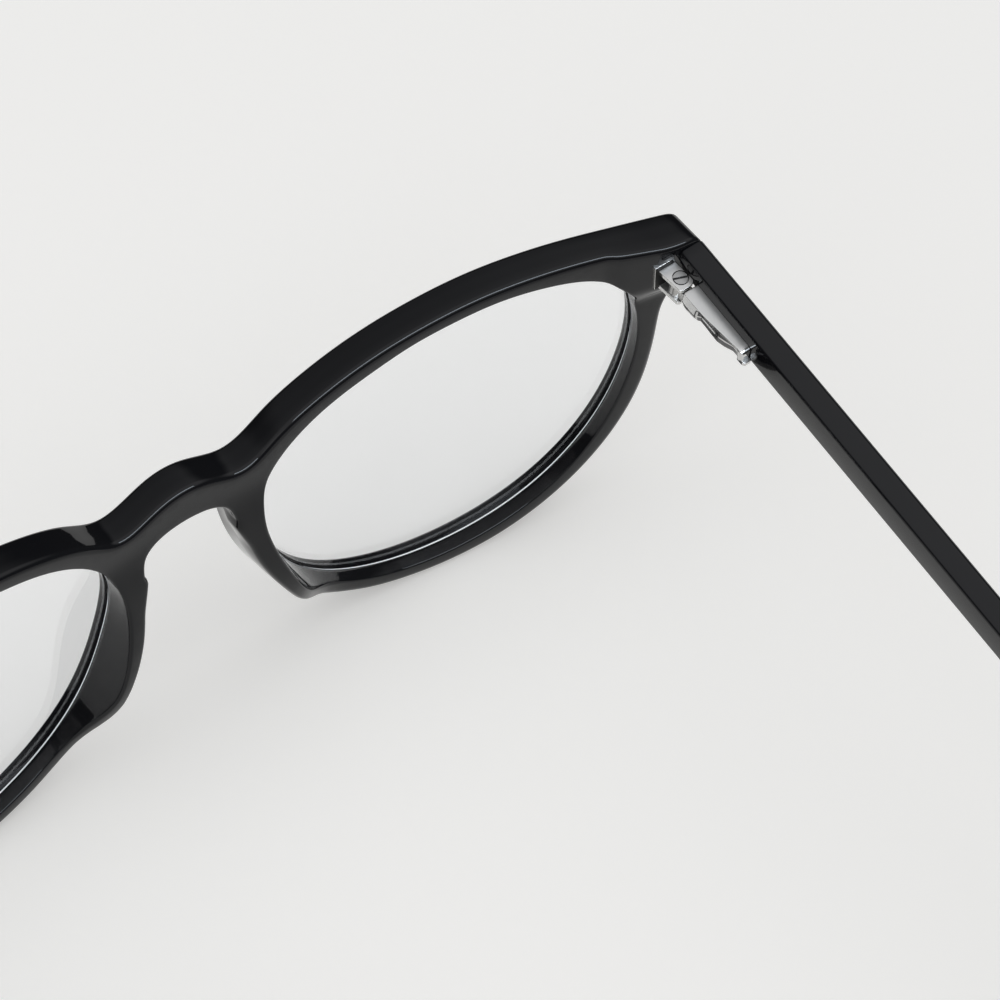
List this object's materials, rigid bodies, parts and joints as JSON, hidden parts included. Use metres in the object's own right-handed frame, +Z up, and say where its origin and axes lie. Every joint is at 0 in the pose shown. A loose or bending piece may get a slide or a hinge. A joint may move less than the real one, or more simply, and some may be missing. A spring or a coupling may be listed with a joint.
{
  "type": "eyeglasses",
  "caption": "Full-rim acetate eyeglasses with clear round-panto lenses, keyhole bridge, bonded nose pads and folding temples on sprung hinges.",
  "frame": {"origin": "under the middle of the part's box, on the surface that the rim bottoms and temple tips stand on", "axes": "+Z up along the front, -Y out of the front face, +Y back along the open temples, -X towards the wearer's right"},
  "size_m": [0.1334, 0.1416, 0.048],
  "materials": {
    "acetate_front": "tumble-polished black cellulose acetate",
    "acetate_pad": "tumble-polished black cellulose acetate, bonded",
    "acetate_temple": "polished black cellulose acetate",
    "lens": "clear, coated against reflections",
    "hinge_plate": "polished nickel silver",
    "screw_steel": "turned, slotted head",
    "bushing_metal": "plain",
    "eye_metal": "milled nickel silver",
    "spring_steel": "drawn spring wire",
    "nut_metal": "plain",
    "housing_metal": "polished nickel plate",
    "core_wire_metal": "rolled nickel silver wire"
  },
  "bodies": {
    "front": {"front_frame": "acetate_front", "nose_pad_right": "acetate_pad", "nose_pad_left": "acetate_pad", "lens_right": "lens", "lens_left": "lens", "front_hinge_right": "hinge_plate", "front_hinge_left": "hinge_plate", "hinge_screw_right": "screw_steel", "hinge_screw_left": "screw_steel"},
    "bushing_right": {"hinge_bushing_right": "bushing_metal"},
    "eye_right": {"hinge_eye_right": "eye_metal", "spring_nut_right": "nut_metal", "hinge_spring_right": "spring_steel"},
    "temple_right": {"spring_housing_right": "housing_metal", "temple_right": "acetate_temple", "core_wire_right": "core_wire_metal"},
    "bushing_left": {"hinge_bushing_left": "bushing_metal"},
    "eye_left": {"hinge_eye_left": "eye_metal", "spring_nut_left": "nut_metal", "hinge_spring_left": "spring_steel"},
    "temple_left": {"spring_housing_left": "housing_metal", "temple_left": "acetate_temple", "core_wire_left": "core_wire_metal"}
  },
  "joints": [
    {"name": "fold_right", "type": "hinge", "parent": "front", "child": "bushing_right", "pos_m": [-0.0623, -0.05704, 0.0399], "axis": [0, -0.1633, -0.9866], "range_deg": [0, 90]},
    {"name": "flex_right", "type": "hinge", "parent": "bushing_right", "child": "eye_right", "pos_m": [-0.0623, -0.05704, 0.0399], "axis": [0, 0.1633, 0.9866], "range_deg": [0, 6], "stiffness_Nm_per_rad": 0.4},
    {"name": "pull_right", "type": "slide", "parent": "eye_right", "child": "temple_right", "axis": [0, 0.9866, -0.1633], "range_m": [0, 0.00055]},
    {"name": "fold_left", "type": "hinge", "parent": "front", "child": "bushing_left", "pos_m": [0.0623, -0.05704, 0.0399], "axis": [0, 0.1633, 0.9866], "range_deg": [0, 58]},
    {"name": "flex_left", "type": "hinge", "parent": "bushing_left", "child": "eye_left", "pos_m": [0.0623, -0.05704, 0.0399], "axis": [0, -0.1633, -0.9866], "range_deg": [0, 6], "stiffness_Nm_per_rad": 0.4},
    {"name": "pull_left", "type": "slide", "parent": "eye_left", "child": "temple_left", "axis": [0, 0.9866, -0.1633], "range_m": [0, 0.00055]}
  ],
  "couplings": [
    {"joint": "pull_right", "follows": "flex_right", "m_per_rad": 0.0047},
    {"joint": "pull_left", "follows": "flex_left", "m_per_rad": 0.0047}
  ]
}
